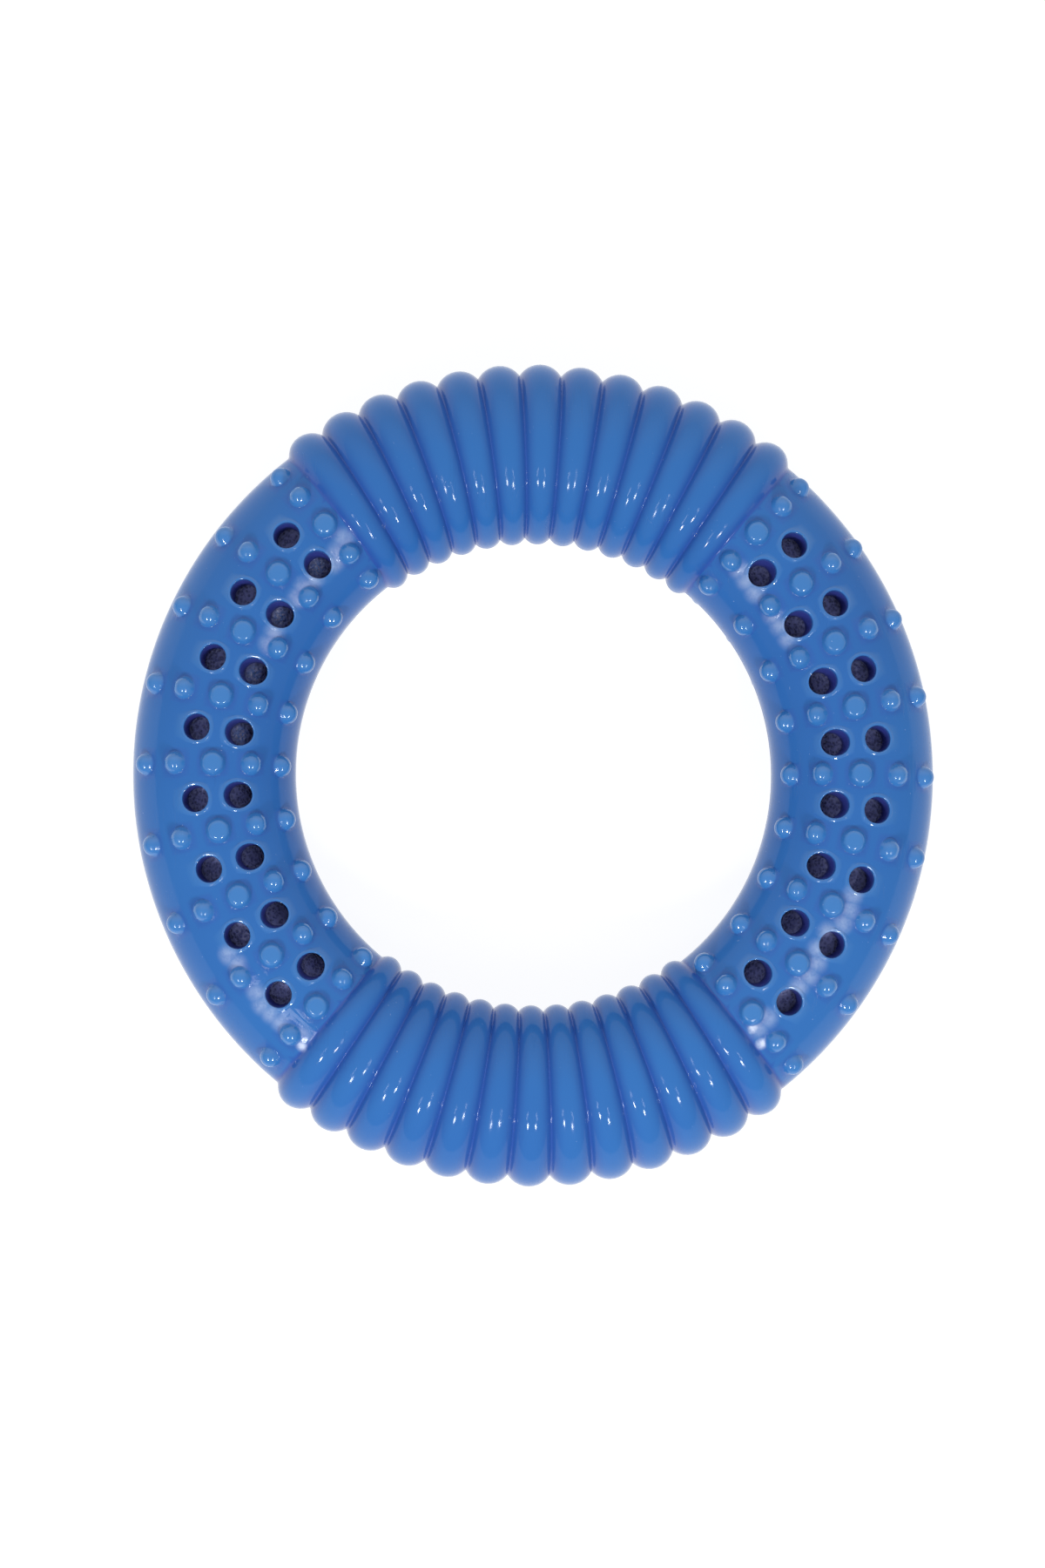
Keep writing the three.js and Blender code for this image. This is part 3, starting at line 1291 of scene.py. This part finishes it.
@dataclass(frozen=True)
class WetSponge:
    """Dark open-cell sponge, damp enough to glint, with painted shade in its pores and painted bluish light
    and glints on a few wet patches.
    """

    body: Colour = (146, 153, 208)
    # darker colour in the pores: painted shade
    pit: Colour = (104, 109, 156)
    # painted sheen: bluish light painted on the wet patches
    painted_sheen: Colour = (150, 190, 255)
    # painted glints on the wet patches
    painted_sparkle: Colour = (226, 226, 248)
    cell_size: float = 0.0007
    cell_wall: Range = (0.1, 0.7)
    cell_depth: float = 0.0002
    patches: Pattern = Pattern(0.004, 0.35, 0.7, least=0.6)
    # wet patches, which also carry painted light and glints
    wet_lit_pools: Places = ((138.0, 117.0), (150.0, 117.0), (162.0, 118.0), (174.0, 118.0))
    pool_reach: float = 0.0028
    glints: Pattern = Pattern(0.0007, 0.5, 0.58)
    damp: Pattern = Pattern(0.003, 0.5, 0.62)
    roughness: float = 0.75
    damp_gloss: float = 0.45
    pool_gloss: float = 0.8

    def material(self, tube: Tube, seam_height: float) -> bpy.types.Material:
        """Builds the material.

        Args:
            tube: the ring's tube, in whose hollow the sponge lies.
            seam_height: the height of its middle.

        Returns:
            The material.
        """
        graph = Graph(bpy.data.materials.new("wet_sponge"))
        scale = {"Vector": graph.place, "Scale": 1 / self.cell_size}
        cells = graph.add("ShaderNodeTexVoronoi", None, scale).ramp(*self.cell_wall)
        wet_lit_pool = graph.spots(tube.spots(self.wet_lit_pools, tube.cavity, seam_height), self.pool_reach)
        # pores darker than the cell walls: painted shade
        base = graph.blend(cells * graph.pattern(self.patches), colour(*self.pit), colour(*self.body))
        # painted bluish light on the wet patches
        base = graph.blend(wet_lit_pool, base, colour(*self.painted_sheen))
        # painted glints on the wet patches
        base = graph.blend(wet_lit_pool * graph.pattern(self.glints), base, colour(*self.painted_sparkle))
        roughness = self.roughness - self.damp_gloss * graph.pattern(self.damp)
        return graph.finish({
            "Base Color": base,
            "Roughness": roughness * (1 - self.pool_gloss * wet_lit_pool),
            "Coat Weight": wet_lit_pool,
            "Normal": graph.bump(cells, self.cell_depth),
        })


@dataclass(frozen=True)
class PaleFloor:
    """Matt grey board that glows, so that it looks white and only the ring's touch shades it."""

    tone: Colour = (125, 125, 125)
    grain: Colour = (133, 133, 133)
    grain_size: float = 0.0015
    grain_share: float = 0.3
    grain_depth: float = 0.00002
    roughness: float = 0.85
    glow: float = 0.88

    def material(self) -> bpy.types.Material:
        """Builds the material.

        Returns:
            The material.
        """
        graph = Graph(bpy.data.materials.new("pale_floor"))
        grain = graph.noise(self.grain_size, 3.0)
        base = graph.blend(grain * self.grain_share, colour(*self.tone), colour(*self.grain))
        return graph.finish({
            "Base Color": base,
            "Roughness": self.roughness,
            "Emission Color": WHITE,
            "Emission Strength": self.glow,
            "Normal": graph.bump(grain, self.grain_depth),
        })


# Studio


@dataclass
class Studio:
    """A pale floor, two softboxes with a dimmer panel over each, and white surroundings."""

    floor_size: float = 6.0
    distance: float = 1.17
    sides: tuple[tuple[str, float], ...] = (("left", -28.0), ("right", 20.0))
    box: tuple[float, float] = (0.135, 0.135)
    box_forward: float = 42.0
    box_glow: float = 74.0
    panel: tuple[float, float] = (0.09, 0.30)
    panel_forward: float = 27.0
    panel_glow: float = 9.0
    level: float = 0.36
    overhead: float = 0.52
    overhead_turn: Range = (0.1, 0.75)
    behind: float = 0.66
    behind_turn: Range = (0.0, 0.9)

    def build(self) -> None:
        """Builds the floor, the lights and the surroundings."""
        self.floor()
        for side, across in self.sides:
            self.lamp("softbox_" + side, across, self.box_forward, self.box, self.box_glow)
            self.lamp("panel_" + side, across, self.panel_forward, self.panel, self.panel_glow)
        self.surroundings()
        bpy.context.scene.view_settings.view_transform = "Standard"

    def surroundings(self) -> None:
        """Makes the sky, dim overhead and brighter towards the horizon and behind the ring."""
        world = bpy.data.worlds.new("white_surroundings")
        bpy.context.scene.world = world
        graph = Graph(world)
        split = graph.node("ShaderNodeSeparateXYZ", None, {0: graph.place})
        back, up = Socket(graph, split.outputs["Y"]), Socket(graph, split.outputs["Z"])
        glow = self.level + (self.overhead - self.level) * up.ramp(*self.overhead_turn)
        glow = glow + self.behind * back.ramp(*self.behind_turn)
        sky = graph.add("ShaderNodeBackground", None, {"Color": WHITE, "Strength": glow})
        graph.node("ShaderNodeOutputWorld", None, {"Surface": sky})

    def floor(self) -> bpy.types.Object:
        """Lays the floor on z = 0.

        Returns:
            The floor's object.
        """
        half = self.floor_size / 2
        corners = [(-half, -half, 0), (half, -half, 0), (half, half, 0), (-half, half, 0)]
        mesh = bpy.data.meshes.new("floor")
        mesh.from_pydata(corners, [], [(0, 1, 2, 3)])
        mesh.materials.append(PaleFloor().material())
        floor = bpy.data.objects.new("floor", mesh)
        bpy.context.scene.collection.objects.link(floor)
        floor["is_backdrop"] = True
        return floor

    def lamp(self, name: str, across: float, forward: float, size: tuple[float, float], glow: float) -> None:
        """Hangs a flat light that points at the ring.

        Args:
            name: its name.
            across: degrees from upright towards +X.
            forward: degrees from upright towards -Y.
            size: its width and its length, in metres.
            glow: how bright its face is, where a sunlit white wall would be 1.
        """
        light = bpy.data.lights.new(name, "AREA")
        light.shape = "RECTANGLE"
        light.size, light.size_y = size
        light.energy = glow * math.pi * size[0] * size[1]
        away = Vector((math.tan(math.radians(across)), -math.tan(math.radians(forward)), 1)).normalized()
        lamp = bpy.data.objects.new(name, light)
        lamp.location = away * self.distance
        lamp.rotation_euler = away.to_track_quat("Z", "Y").to_euler()
        bpy.context.scene.collection.objects.link(lamp)


@dataclass
class PhotoCamera:
    """The camera that took the photograph."""

    frame_width: int = 1200
    frame_height: int = 1800
    centre_x: float = 613.4
    centre_y: float = 888.3
    metres_per_pixel: float = 0.00019114
    distance: float = 1.02
    away: tuple[float, float, float] = (-0.0443, -0.0667, 1.0)
    roll: float = 0.81
    sensor: float = 36.0

    def build(self, seam_height: float) -> bpy.types.Object:
        """Builds the camera.

        Args:
            seam_height: the height of the ring's middle.

        Returns:
            The camera's object.
        """
        data = bpy.data.cameras.new("photo_camera")
        data.sensor_width = self.sensor
        data.lens = self.sensor * self.distance / (self.frame_height * self.metres_per_pixel)
        away = Vector(self.away).normalized()
        middle = Vector((0, 0, seam_height))
        right = Vector((0, 1, 0)).cross(away).normalized()
        up = away.cross(right)
        turn = Matrix.Rotation(math.radians(self.roll), 3, away)
        right, up = turn @ right, turn @ up
        across = (self.frame_width / 2 - self.centre_x) * self.metres_per_pixel
        rise = (self.centre_y - self.frame_height / 2) * self.metres_per_pixel
        location = middle + away * self.distance
        aim = middle + right * across + up * rise
        back = (location - aim).normalized()
        side = up.cross(back).normalized()
        pose = Matrix((side, back.cross(side), back)).transposed().to_4x4()
        pose.translation = location
        camera = bpy.data.objects.new("photo_camera", data)
        camera.matrix_world = pose
        bpy.context.scene.collection.objects.link(camera)
        bpy.context.scene.camera = camera
        return camera


def corners(box: tuple[Vector, Vector]) -> list[list[float]]:
    """A box as plain lists."""
    return [list(corner) for corner in box]


def main() -> None:
    """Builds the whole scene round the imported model."""
    logging.basicConfig(level=logging.INFO, format="%(message)s")
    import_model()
    model_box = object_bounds()
    seam_height = (model_box[0].z + model_box[1].z) / 2
    PhotoCamera().build(seam_height)
    rubber = GlossyRubber().material(Tube(), seam_height)
    foam = WetSponge().material(Tube(), seam_height)
    parts = [(HalfShell(half, seam_height, model_box[1].z - seam_height), rubber) for half in Half]
    parts += [(SpongeCore(*arc.value, seam_height), foam) for arc in Arc]
    for part, material in parts:
        piece = part.build()
        part.dress(piece, material)
        log.info("%s stands for %s", piece.name, part.node)
    Studio().build()


if __name__ == "__main__":
    main()
